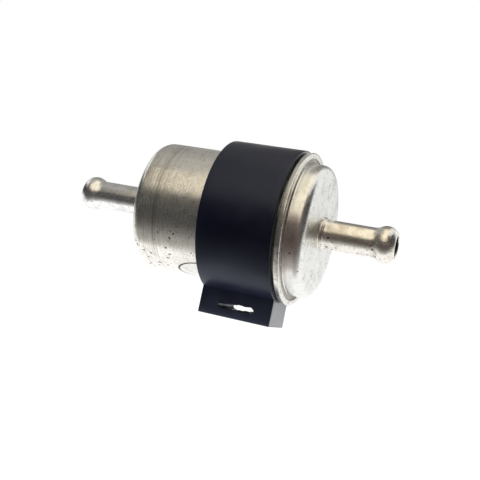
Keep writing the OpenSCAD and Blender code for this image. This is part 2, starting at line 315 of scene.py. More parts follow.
@dataclass(frozen=True)
class PressedTin:
    """Pressed tinned steel of the lid: bright, scratched every way, with a pinkish-brown painted reflection
    tint on a band of its wall.
    """

    name: str = "lid_pressed_tinned_steel"
    clean: str = "ECECE9"
    dull: str = "B3B1AB"
    pit: str = "5A564F"
    roughness: float = 0.27
    # painted_reflection_tint: pinkish-brown painted reflection for the band of the wall that faces the dark
    # front
    painted_reflection_tint: str = "DEC9C4"
    face_x: float = 17.6 * MM

    def make(self) -> Any:
        """Builds the material."""
        s = Surface(self.name)
        grain = s.clouds(s.stretched((0.35,) * 3), 3.0, 0.65)
        patches = s.clouds(s.stretched((1.6,) * 3), 5.0, 0.7)
        across = s.scratches(0.5, 5.0, 0.22, 0.03)
        along = s.scratches(-0.3, 3.5, 0.2, 0.015)
        steep = s.scratches(1.9, 6.0, 0.26, 0.015)
        scored = s.sum(s.sum(across, along, "MAXIMUM"), steep, "MAXIMUM")
        place = s.add("ShaderNodeSeparateXYZ", {0: s.place}).outputs
        on_face = s.between(place[0], self.face_x - 0.5 * MM, self.face_x - 0.2 * MM)
        handled = s.between(s.clouds(s.stretched((4.5,) * 3), 2.0), 0.42, 0.6, 0.25, 1.0)
        scored = s.sum(scored, s.sum(on_face, handled, "MULTIPLY"), "MULTIPLY")
        marks = s.specks(2.4, 0.3, 0.12)
        tone = s.sum(s.between(patches, 0.5, 0.8, 0.0, 0.6), s.sum(scored, 0.9, "MULTIPLY"), "ADD")
        colour = s.blend(tone, linear(self.clean), linear(self.dull))
        # Painted reflection: the tint goes only on a band of the wall, set by height below the axis, where
        # the wall reflects the dark front.
        on_wall = s.between(place[0], self.face_x - 2.2 * MM, self.face_x - 0.6 * MM, 0.55, 0.0)
        below = s.between(place[2], (AXIS_HEIGHT - 3) * MM, (AXIS_HEIGHT + 5) * MM, 1.0, 0.0)
        above = s.between(place[2], (AXIS_HEIGHT - 15) * MM, (AXIS_HEIGHT - 9) * MM)
        painted_reflection_tint = s.sum(on_wall, s.sum(below, above, "MULTIPLY"), "MULTIPLY")
        colour = s.blend(painted_reflection_tint, colour, linear(self.painted_reflection_tint))
        colour = s.blend(marks, colour, linear(self.pit))
        rough = s.sum(s.between(patches, 0.35, 0.75, 0.0, 0.12), self.roughness, "ADD")
        rough = s.sum(rough, s.sum(scored, 0.08, "MULTIPLY"), "ADD")
        normal = s.bump(patches, 0.02)
        normal = s.bump(grain, 0.01, normal)
        normal = s.bump(scored, -0.012, normal)
        normal = s.bump(marks, -0.03, normal)
        return s.set(Base_Color=colour, Metallic=1.0, Roughness=rough, Normal=normal)


@dataclass(frozen=True)
class GrooveGrimeAndShade:
    """The lid's steel in the groove beside the seam: darkened as grime plus painted shade of the recess,
    with metal showing through in patches.
    """

    name: str = "lid_groove_grime_and_painted_shade"
    # grime_and_shade: dark grime plus painted shade for the groove between the lid and the seam
    grime_and_shade: str = "96928A"
    bare: str = "D2CFC8"
    roughness: float = 0.4

    def make(self) -> Any:
        """Builds the material."""
        s = Surface(self.name)
        groove_patches = s.clouds(s.stretched((0.7,) * 3), 4.0, 0.65)
        colour = s.blend(s.between(groove_patches, 0.52, 0.72), linear(self.grime_and_shade), linear(self.bare))
        rough = s.sum(s.between(groove_patches, 0.3, 0.7, 0.1, -0.12), self.roughness, "ADD")
        return s.set(Base_Color=colour, Metallic=1.0, Roughness=rough, Normal=s.bump(groove_patches, 0.03))


@dataclass(frozen=True)
class TurnedTube:
    """Turned and plated steel tube: smoother than the can, with fine turning rings and corrosion pits."""

    name: str = "nipple_turned_plated_steel"
    clean: str = "EFEBE4"
    dull: str = "DAD3C8"
    pit: str = "3A332E"
    roughness: float = 0.27
    wear: float = 1.0

    def make(self) -> Any:
        """Builds the material."""
        s = Surface(self.name)
        rings = s.clouds(s.stretched((0.16, 30, 30)), 2.0)
        patches = s.clouds(s.stretched((2.4,) * 3), 2.0, 0.5)
        height = s.add("ShaderNodeSeparateXYZ", {0: s.place}).outputs[2]
        fade = ((AXIS_HEIGHT - 1.6) * MM, (AXIS_HEIGHT + 0.4) * MM)
        lower = s.between(height, *fade, self.wear, self.wear * 0.2)
        marks = s.sum(s.specks(1.2, 0.36, 0.5), s.specks(0.6, 0.16, 0.4), "MAXIMUM")
        marks = s.sum(marks, lower, "MULTIPLY")
        colour = s.blend(s.between(patches, 0.4, 0.7), linear(self.clean), linear(self.dull))
        colour = s.blend(marks, colour, linear(self.pit))
        rough = s.sum(s.between(patches, 0.35, 0.7, 0.0, 0.05), self.roughness, "ADD")
        normal = s.bump(rings, 0.0015)
        normal = s.bump(marks, -0.035, normal)
        return s.set(Base_Color=colour, Metallic=1.0, Roughness=rough, Normal=normal)


@dataclass(frozen=True)
class DeepBoreShade:
    """Inside of the tube: brown-black painted shade for the deep bore, with a dull gloss and streaks along
    it.
    """

    name: str = "nipple_bore_painted_shade"
    # bore_shade_colour: near black, painted shade inside the tube
    bore_shade_colour: str = "1C1816"
    bare: str = "4A433C"
    roughness: float = 0.45

    def make(self) -> Any:
        """Builds the material."""
        s = Surface(self.name)
        bore_streaks = s.clouds(s.stretched((6.0, 0.7, 0.7)), 3.0, 0.6)
        colour = s.blend(s.between(bore_streaks, 0.5, 0.8), linear(self.bore_shade_colour), linear(self.bare))
        rough = s.sum(s.between(bore_streaks, 0.3, 0.7, -0.08, 0.12), self.roughness, "ADD")
        return s.set(Base_Color=colour, Metallic=0.4, Roughness=rough, Normal=s.bump(bore_streaks, 0.02))


@dataclass(frozen=True)
class BrazedFillet:
    """Silver brazing alloy that froze as it ran: slightly yellow, lumpy, with dull flux marks."""

    name: str = "braze_silver_alloy"
    clean: str = "E9E5DB"
    dull: str = "A8A196"
    roughness: float = 0.3

    def make(self) -> Any:
        """Builds the material."""
        s = Surface(self.name)
        lumps = s.clouds(s.stretched((0.6,) * 3), 3.0, 0.6)
        flux = s.clouds(s.stretched((1.5,) * 3), 3.0, 0.7)
        colour = s.blend(s.between(flux, 0.45, 0.7), linear(self.clean), linear(self.dull))
        rough = s.sum(s.between(flux, 0.4, 0.7, 0.0, 0.25), self.roughness, "ADD")
        return s.set(Base_Color=colour, Metallic=1.0, Roughness=rough, Normal=s.bump(lumps, 0.08))


@dataclass(frozen=True)
class ExtrudedRubber:
    """Black extruded rubber: satin with a blue cast, faint lines along the extrusion, a little dust."""

    name: str = "holder_extruded_rubber"
    body: str = "080B20"
    bloom: str = "11152C"
    dust: str = "44464C"
    roughness: float = 0.38

    def make(self) -> Any:
        """Builds the material."""
        s = Surface(self.name)
        grain = s.clouds(s.stretched((0.12,) * 3), 2.0, 0.6)
        lines = s.clouds(s.stretched((25, 0.35, 0.35)), 2.0)
        bloom = s.clouds(s.stretched((9.0,) * 3), 3.0, 0.55)
        dust = s.specks(1.8, 0.09, 0.12)
        colour = s.blend(s.between(bloom, 0.4, 0.75), linear(self.body), linear(self.bloom))
        colour = s.blend(s.sum(dust, 0.5, "MULTIPLY"), colour, linear(self.dust))
        rough = s.sum(s.between(bloom, 0.35, 0.7, -0.03, 0.06), self.roughness, "ADD")
        normal = s.bump(grain, 0.006)
        normal = s.bump(lines, 0.006, normal)
        tint = (0.74, 0.82, 1.0, 1.0)
        return s.set(Base_Color=colour, Roughness=rough, Normal=normal, Specular_Tint=tint)


@dataclass(frozen=True)
class CutEndSheenRubber:
    """The same rubber on the cut end faces: a paler grey, partly the cut face's duller tone and partly
    painted sheen for the bright reflection of these faces; smoother, with faint blade strokes.
    """

    name: str = "holder_end_face_painted_sheen"
    # body and sheen_grey: paler than the rubber, partly painted sheen for the end faces' bright reflection
    body: str = "3C4046"
    sheen_grey: str = "575B61"
    roughness: float = 0.3

    def make(self) -> Any:
        """Builds the material."""
        s = Surface(self.name)
        strokes = s.clouds(s.stretched((4, 6, 0.3), (0.5, 0, 0)), 2.0)
        cloudy = s.clouds(s.stretched((2.5,) * 3), 3.0, 0.6)
        colour = s.blend(s.between(cloudy, 0.35, 0.7), linear(self.body), linear(self.sheen_grey))
        rough = s.sum(s.between(cloudy, 0.3, 0.7, 0.0, 0.1), self.roughness, "ADD")
        return s.set(Base_Color=colour, Roughness=rough, Normal=s.bump(strokes, 0.01), Coat_Weight=0.6)


@dataclass(frozen=True)
class SpringWire:
    """Hard-drawn spring steel wire: dark, oiled, with draw lines along it."""

    name: str = "spring_oiled_wire"
    clean: str = "8E8D8A"
    dull: str = "5A5957"
    roughness: float = 0.28

    def make(self) -> Any:
        """Builds the material."""
        s = Surface(self.name)
        patches = s.clouds(s.stretched((1.5,) * 3), 4.0, 0.6)
        lines = s.clouds(s.stretched((0.12, 2.0, 2.0)), 2.0)
        colour = s.blend(s.between(patches, 0.35, 0.7), linear(self.clean), linear(self.dull))
        rough = s.sum(s.between(patches, 0.35, 0.7, 0.0, 0.15), self.roughness, "ADD")
        return s.set(Base_Color=colour, Metallic=1.0, Roughness=rough, Normal=s.bump(lines, 0.006))


@dataclass(frozen=True)
class PressedSteel:
    """Zinc-plated pressed steel of the inner plates: even grey with a faint crystal pattern."""

    name: str = "inner_zinc_plated_steel"
    clean: str = "C4C6C7"
    dull: str = "9FA3A6"
    roughness: float = 0.34

    def make(self) -> Any:
        """Builds the material."""
        s = Surface(self.name)
        cells = s.add("ShaderNodeTexVoronoi", {"Vector": s.stretched((1.6,) * 3), "Scale": 1.0})
        facet = s.add("ShaderNodeSeparateColor", {0: cells.outputs["Color"]}).outputs[1]
        grain = s.clouds(s.stretched((0.3,) * 3), 3.0, 0.6)
        colour = s.blend(s.between(facet, 0.2, 0.9), linear(self.clean), linear(self.dull))
        rough = s.sum(s.between(facet, 0.0, 1.0, -0.05, 0.08), self.roughness, "ADD")
        return s.set(Base_Color=colour, Metallic=1.0, Roughness=rough, Normal=s.bump(grain, 0.01))


@dataclass(frozen=True)
class FilterPaper:
    """Resin-treated filter paper: warm cream, felted fibres, slightly darker where the resin pooled."""

    name: str = "filter_resin_paper"
    clean: str = "E3D3A4"
    resin: str = "C7B07A"
    roughness: float = 0.85

    def make(self) -> Any:
        """Builds the material."""
        s = Surface(self.name)
        fibres = s.clouds(s.stretched((0.6, 0.12, 0.12), (0.3, 0.5, 0.2)), 4.0, 0.7)
        pools = s.clouds(s.stretched((3.0,) * 3), 3.0, 0.6)
        tone = s.sum(s.between(pools, 0.4, 0.75), s.between(fibres, 0.4, 0.8, 0.0, 0.4), "ADD")
        colour = s.blend(tone, linear(self.clean), linear(self.resin))
        return s.set(Base_Color=colour, Roughness=self.roughness, Normal=s.bump(fibres, 0.03))


@dataclass(frozen=True)
class WrapCard:
    """Pressed card of the outer wrap: dull buff with short fibres."""

    name: str = "wrap_pressed_card"
    clean: str = "C9AE7C"
    fibre: str = "A88C5C"
    roughness: float = 0.9

    def make(self) -> Any:
        """Builds the material."""
        s = Surface(self.name)
        fibres = s.clouds(s.stretched((0.9, 0.15, 0.15), (0.2, 0.7, 0.4)), 4.0, 0.7)
        colour = s.blend(s.between(fibres, 0.42, 0.7), linear(self.clean), linear(self.fibre))
        return s.set(Base_Color=colour, Roughness=self.roughness, Normal=s.bump(fibres, 0.03))


@dataclass(frozen=True)
class PottingAdhesive:
    """Cured plastisol adhesive: brick red, soft gloss, small bubbles."""

    name: str = "potting_cured_plastisol"
    body: str = "9A4A30"
    deep: str = "6E2E1E"
    roughness: float = 0.38

    def make(self) -> Any:
        """Builds the material."""
        s = Surface(self.name)
        swirl = s.clouds(s.stretched((2.5,) * 3), 3.0, 0.5)
        bubbles = s.specks(1.1, 0.2, 0.3)
        colour = s.blend(s.between(swirl, 0.35, 0.7), linear(self.body), linear(self.deep))
        return s.set(Base_Color=colour, Roughness=self.roughness, Normal=s.bump(bubbles, -0.06))


@dataclass(frozen=True)
class SealRubber:
    """Moulded nitrile seal: black, matt, with a fine moulded grain."""

    name: str = "seal_moulded_nitrile"
    body: str = "151515"
    worn: str = "2A2A29"
    roughness: float = 0.55

    def make(self) -> Any:
        """Builds the material."""
        s = Surface(self.name)
        grain = s.clouds(s.stretched((0.15,) * 3), 2.0, 0.6)
        wear = s.clouds(s.stretched((3.0,) * 3), 3.0, 0.6)
        colour = s.blend(s.between(wear, 0.45, 0.75), linear(self.body), linear(self.worn))
        return s.set(Base_Color=colour, Roughness=self.roughness, Normal=s.bump(grain, 0.008))


@dataclass(frozen=True)
class MouldedNylon:
    """Moulded natural nylon of the strainer's ring: milky, soft gloss, faint flow marks."""

    name: str = "strainer_moulded_nylon"
    body: str = "E6E2D3"
    flow: str = "D2CCB8"
    roughness: float = 0.42

    def make(self) -> Any:
        """Builds the material."""
        s = Surface(self.name)
        flow = s.clouds(s.stretched((2.0, 5.0, 5.0)), 3.0, 0.5)
        colour = s.blend(s.between(flow, 0.4, 0.7), linear(self.body), linear(self.flow))
        rough = s.sum(s.between(flow, 0.3, 0.7, 0.0, 0.1), self.roughness, "ADD")
        return s.set(Base_Color=colour, Roughness=rough, Normal=s.bump(flow, 0.01))


@dataclass(frozen=True)
class WovenWire:
    """Woven stainless wire of the strainer: bright with dark gaps, drawn as coarse as it needs to show."""

    name: str = "strainer_woven_wire"
    wire: str = "C8C9C8"
    gap: str = "3A3B3C"
    pitch: float = 0.5
    roughness: float = 0.3

    def make(self) -> Any:
        """Builds the material."""
        s = Surface(self.name)
        place = s.stretched((self.pitch,) * 3)
        along = s.add("ShaderNodeTexWave", {"Vector": place, "Scale": 1.0}, bands_direction="X").outputs[1]
        around = s.add("ShaderNodeTexWave", {"Vector": place, "Scale": 1.0}, bands_direction="Z").outputs[1]
        weave = s.sum(along, around, "MAXIMUM")
        colour = s.blend(s.between(weave, 0.3, 0.7), linear(self.gap), linear(self.wire))
        return s.set(Base_Color=colour, Metallic=1.0, Roughness=self.roughness, Normal=s.bump(weave, 0.05))


@dataclass
class Outline:
    """A closed half profile of a turned piece, as (radius, place along X) in millimetres."""

    points: list[Point] = field(default_factory=list)

    def to(self, radius: float, x: float, step: float = 3.0) -> "Outline":
        """Draws a straight line to a point, split so that no part is longer than step."""
        if self.points:
            r0, x0 = self.points[-1]
            count = max(1, math.ceil(math.hypot(radius - r0, x - x0) / step))
            for i in range(1, count):
                share = i / count
                self.points.append((r0 + (radius - r0) * share, x0 + (x - x0) * share))
        self.points.append((radius, x))
        return self

    def arc(self, radius: float, x: float, size: float, start: float, end: float,
            steps: int = 8) -> "Outline":
        """Draws an arc round (radius, x).

        Args:
            radius: the middle's distance from the axis.
            x: the middle's place along X.
            size: the arc's radius.
            start: its first angle in degrees, 0 straight out from the axis and 90 along X.
            end: its last angle in degrees.
            steps: how many straight parts it has.

        Returns:
            The outline itself.
        """
        for i in range(steps + 1):
            a = math.radians(start + (end - start) * i / steps)
            self.points.append((radius + size * math.cos(a), x + size * math.sin(a)))
        return self

    def distinct(self) -> list[Point]:
        """The profile's points, less each that repeats the one before it."""
        pairs = zip(self.points[-1:] + self.points[:-1], self.points)
        return [point for before, point in pairs if math.dist(before, point) > SAME_POINT]


def finished(mesh: Any, sharp: float) -> Any:
    """Shades a mesh smooth except at edges sharper than an angle in degrees."""
    mesh.polygons.foreach_set("use_smooth", [True] * len(mesh.polygons))
    mesh.set_sharp_from_angle(angle=math.radians(sharp))
    mesh.update()
    return mesh


@dataclass
class Bend:
    """The other body and the start and end places, in millimetres, of a piece's give; nothing in the script
    makes the piece follow it.
    """

    other: str
    start: tuple[float, float, float]
    end: tuple[float, float, float]


def piece(
    name: str,
    mesh: Any,
    body: str,
    nodes: Sequence[str],
    finishes: Sequence[Any],
    bend: Bend | None = None,
) -> Any:
    """Puts a mesh in the scene as a piece that stands for CAD nodes.

    Args:
        name: the piece's name.
        mesh: its mesh, in metres in the shared frame.
        body: the CAD body that it rides on.
        nodes: the CAD nodes that it replaces.
        finishes: its materials in order.
        bend: where given, the piece is baked in place instead of riding on its body; the give itself, its
            other body and places in millimetres, is not used.

    Returns:
        The object.
    """
    made = bpy.data.objects.new(name, mesh)
    bpy.context.scene.collection.objects.link(made)
    for finish in finishes:
        mesh.materials.append(finish)
    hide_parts(*nodes)
    if bend is None:
        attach(made, body)
    else:
        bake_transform(made)
    LOG.info("%s: %d faces, rides on %s, stands for %s", name, len(mesh.polygons), body, ", ".join(nodes))
    return made


Waviness = Callable[[float, float, float], tuple[float, float]]


def turned_mesh(name: str, outline: Outline, flats: int, uneven: Waviness | None = None) -> Any:
    """Turns a closed outline round the filter's axis.

    Args:
        name: the mesh's name.
        outline: the closed half profile.
        flats: how many steps the full turn has.
        uneven: gives how far a point moves out and along X, in millimetres, from its
            radius, its place and its angle.

    Returns:
        The mesh in metres.
    """
    build = bmesh.new()
    rings = []
    for radius, x in outline.distinct():
        ring = []
        for i in range(flats):
            angle = 2 * math.pi * i / flats
            out, along = uneven(radius, x, angle) if uneven else (0.0, 0.0)
            r = radius + out
            place = (x + along, -r * math.cos(angle), AXIS_HEIGHT + r * math.sin(angle))
            ring.append(build.verts.new(Vector(place) * MM))
        rings.append(ring)
    for first, second in zip(rings, rings[1:] + rings[:1]):
        for i in range(flats):
            j = (i + 1) % flats
            build.faces.new((first[i], first[j], second[j], second[i]))
    bmesh.ops.recalc_face_normals(build, faces=build.faces[:])
    mesh = bpy.data.meshes.new(name)
    build.to_mesh(mesh)
    build.free()
    return finished(mesh, 38)


def ripple(radius: float, x: float, angle: float, size: float) -> float:
    """Smooth noise from -1 to 1 over a turned surface, with lumps of a size in millimetres."""
    place = Vector((x, radius * math.cos(angle), radius * math.sin(angle))) / size
    return noise.noise(place)


@dataclass
class Can:
    """The deep-drawn can with its rolled seam, and the lid that the seam holds."""

    radius: float = 18.1
    sheet: float = 0.5
    hole: float = 4.03
    closed_x: float = -31.3
    corner: float = 2.6
    seam_x: float = 10.85
    seam_radius: float = 21.07
    seam_corner: float = 0.42
    seam_lean: float = 0.26
    seal_x: float = 11.35
    hem_x: float = 12.1
    hem_end_x: float = 12.6
    hem_radius: float = 19.57
    lid_radius: float = 18.15
    lid_corner: float = 2.4
    lid_x: float = 11.6
    lid_end_x: float = 17.6
    flange_radius: float = 20.54
    lid_root: float = 0.8

    def can_outline(self) -> Outline:
        """The can's closed profile, from the nipple's hole round the wall and the seam and back inside."""
        out, t, c = Outline(), self.sheet, self.seam_corner
        out.to(self.hole, self.closed_x).to(self.radius - self.corner, self.closed_x)
        out.arc(self.radius - self.corner, self.closed_x + self.corner, self.corner, -90, 0, 14)
        out.to(self.radius, self.seam_x - c)
        out.arc(self.radius + c, self.seam_x - c, c, 180, 90, 5)
        low = self.seam_radius - self.seam_lean
        out.to(low - c, self.seam_x, 0.8)
        out.arc(low - c, self.seam_x + c, c, -90, -8, 6)
        out.arc(self.seam_radius - c, self.hem_end_x - c, c, -8, 90, 8)
        out.to(self.hem_radius + 0.16, self.hem_end_x, 0.4)
        out.arc(self.hem_radius + 0.16, self.hem_end_x - 0.16, 0.16, 90, 180, 4)
        out.to(self.hem_radius, self.hem_x + 0.02)
        out.to(self.seam_radius - t, self.hem_x + 0.02, 0.5)
        out.to(self.seam_radius - t, self.seal_x)
        out.to(self.radius - t, self.seal_x)
        inner = self.corner - t
        out.to(self.radius - t, self.closed_x + self.corner)
        out.arc(self.radius - self.corner, self.closed_x + self.corner, inner, 0, -90, 8)
        return out.to(self.hole, self.closed_x + t)

    def lid_outline(self) -> Outline:
        """The lid's closed profile, from the nipple's hole out over the shoulder and back inside."""
        out, t, c = Outline(), self.sheet, self.lid_corner
        out.to(self.hole, self.lid_end_x).to(5.2, self.lid_end_x, 0.4)
        out.to(6.0, self.lid_end_x - 0.05, 0.3)
        out.to(7.2, self.lid_end_x - 0.05, 0.5)
        out.to(8.0, self.lid_end_x, 0.3)
        out.to(self.lid_radius - c, self.lid_end_x, 1.0)
        out.arc(self.lid_radius - c, self.lid_end_x - c, c, 90, 0, 12)
        out.to(self.lid_radius, self.hem_x + self.lid_root, 0.6)
        out.arc(self.lid_radius + self.lid_root, self.hem_x + self.lid_root, self.lid_root, 180, 270, 6)
        out.to(self.flange_radius, self.hem_x)
        out.to(self.flange_radius, self.lid_x)
        out.to(self.lid_radius - t, self.lid_x)
        out.to(self.lid_radius - t, self.lid_end_x - c)
        out.arc(self.lid_radius - c, self.lid_end_x - c, c - t, 0, 90, 6)
        return out.to(self.hole, self.lid_end_x - t)

    def can_unevenness(self, radius: float, x: float, angle: float) -> tuple[float, float]:
        """Soft dents of the drawn wall and the small teeth that the roller leaves on the seam."""
        if x > self.seam_x - 1 and radius > self.hem_radius - 0.1:
            bite = ripple(radius, x, angle, 0.9) * 0.05 + ripple(radius, x, angle, 3.5) * 0.06
            edge = max(0.0, x - self.hem_x) / (self.hem_end_x - self.hem_x)
            return -abs(bite), -edge * abs(ripple(radius, x * 2, angle, 1.1)) * 0.12
        if radius > self.radius - self.sheet - 0.1 and x < self.seam_x:
            return ripple(radius, x, angle, 9) * 0.03 - 0.01, 0.0
        return 0.0, abs(ripple(radius, x, angle, 7)) * 0.04

    def lid_unevenness(self, radius: float, x: float, angle: float) -> tuple[float, float]:
        """Soft dents of the pressed lid."""
        if x > self.lid_end_x - 0.3:
            return 0.0, -abs(ripple(radius, x, angle, 5)) * 0.04
        if x > self.hem_x + 0.3 and radius > self.lid_radius - 0.1:
            return ripple(radius, x, angle, 6) * 0.03, 0.0
        return 0.0, 0.0

    def build(self) -> None:
        """Builds and dresses the can and the lid."""
        mesh = turned_mesh("can_shell", self.can_outline(), Turned.LARGE.value, self.can_unevenness)
        piece("can_shell", mesh, "housing", ["can"], [DrawnSteel().make()])
        mesh = turned_mesh("lid_cover", self.lid_outline(), Turned.LARGE.value, self.lid_unevenness)
        # Faces in the groove by the seam get the darker groove material: grime plus painted shade of the
        # recess.
        groove_x = (self.hem_x + self.lid_root * 0.45) * MM
        for face in mesh.polygons:
            off_axis = math.hypot(face.center.y, face.center.z - AXIS_HEIGHT * MM)
            face.material_index = int(face.center.x < groove_x and off_axis > self.lid_radius * MM)
        finishes = [PressedTin().make(), GrooveGrimeAndShade().make()]
        piece("lid_cover", mesh, "housing", ["lid"], finishes)


@dataclass
class Nipple:
    """A beaded hose nipple, swaged and brazed into the sheet that it passes through."""

    side: Side
    root_x: float
    length: float
    tube: float = 4.0
    bore: float = 2.9
    bead: float = 4.95
    mouth: float = 3.35
    bead_to_mouth: float = 2.9
    bead_root: float = 3.5
    collar: float = 4.45
    collar_length: float = 1.3
    shoulder: float = 6.2
    shoulder_length: float = 0.8
    sheet: float = 0.5
    braze: float = 0.5

    def outline(self) -> Outline:
        """The nipple's closed profile for a way out along +X from 0 at the sheet's outer face."""
        rise = self.bead - self.mouth
        size = (self.bead_to_mouth ** 2 + rise ** 2) / (2 * rise)
        middle = self.bead - size
        crest = self.length - self.bead_to_mouth
        root_r = self.tube + self.bead_root
        reach = size + self.bead_root
        root_x = crest - math.sqrt(reach ** 2 - (root_r - middle) ** 2)
        lean = math.degrees(math.atan2(crest - root_x, middle - root_r))
        out = Outline()
        out.to(self.bore, -self.sheet - self.shoulder_length)
        out.to(self.shoulder - 0.15, -self.sheet - self.shoulder_length)
        out.to(self.shoulder, -self.sheet - self.shoulder_length + 0.15)
        out.to(self.shoulder, -self.sheet).to(self.tube, -self.sheet).to(self.tube, 0)
        rings = 3
        pitch = self.collar_length / rings
        for i in range(rings):
            groove = self.collar - 0.16
            out.to(groove if i else self.collar, i * pitch)
            out.to(self.collar - 0.02 * i, i * pitch + pitch * 0.3)
            out.to(self.collar - 0.03 - 0.04 * i, i * pitch + pitch * 0.75)
        out.to(self.tube + 0.08, self.collar_length)
        out.to(self.tube, self.collar_length + 0.35)
        out.to(self.tube, root_x, 0.8)
        out.arc(root_r, root_x, self.bead_root, 180, abs(lean), 7)
        first = -math.degrees(math.asin((crest - self.meet(crest, root_x, middle, root_r)[1]) / size))
        last = math.degrees(math.asin((self.bead_to_mouth - 0.1) / size))
        out.arc(middle, crest, size, first, last, 18)
        out.to(self.mouth - 0.12, self.length).to(self.bore + 0.16, self.length)
        out.to(self.bore, self.length - 0.2)
        return out.to(self.bore, self.length - 6).to(self.bore, 0)

    def meet(self, crest: float, root_x: float, middle: float, root_r: float) -> Point:
        """Where the hollow before the bead meets the bead's own arc."""
        reach = math.hypot(crest - root_x, middle - root_r)
        share = self.bead_root / reach
        return root_r + share * (middle - root_r), root_x + share * (crest - root_x)

    def placed(self, outline: Outline) -> Outline:
        """Moves an outline to the nipple's own place and side."""
        sign = self.side.value
        return Outline([(r, self.root_x + sign * x) for r, x in outline.points])

    def tube_unevenness(self, radius: float, x: float, angle: float) -> tuple[float, float]:
        """Slight hand-finished waviness of the outside and of the rim."""
        if radius < self.bore + 0.1:
            return 0.0, 0.0
        return ripple(radius, x, angle, 3.0) * 0.008 - 0.01, 0.0

    def braze_outline(self) -> Outline:
        """The brazed fillet's closed profile round the collar."""
        r, b = self.collar, self.braze
        out = Outline().to(r, 0.0).to(r + b, 0.0, 0.3)
        return out.arc(r + b, b, b, 270, 180, 8)

    def braze_unevenness(self, radius: float, x: float, angle: float) -> tuple[float, float]:
        """How unevenly the alloy ran: the fillet's toe wanders in and its face has lumps."""
        depth = max(0.0, radius - self.collar) / self.braze
        return -depth * (0.12 + 0.16 * abs(ripple(radius, x, angle, 1.6))), 0.0

    def build(self, finish: Any, bore: Any, alloy: Any) -> None:
        """Builds and dresses the nipple and its brazed joint.

        Args:
            finish: the tube's material.
            bore: the material inside it.
            alloy: the brazing alloy's material.
        """
        end = self.side.name.lower()
        outline = self.placed(self.outline())
        mesh = turned_mesh(f"{end}_tube", outline, Turned.SMALL.value, self.tube_unevenness)
        # Faces inside the bore get the dark bore material: painted shade.
        deep = (self.bore + 0.05) * MM
        for face in mesh.polygons:
            off_axis = math.hypot(face.center.y, face.center.z - AXIS_HEIGHT * MM)
            face.material_index = int(off_axis < deep)
        piece(f"{end}_tube", mesh, "housing", [f"{end}_nipple"], [finish, bore])
        outline = self.placed(self.braze_outline())
        mesh = turned_mesh(f"{end}_fillet", outline, Turned.SMALL.value, self.braze_unevenness)
        piece(f"{end}_fillet", mesh, "housing", [f"{end}_braze"], [alloy])


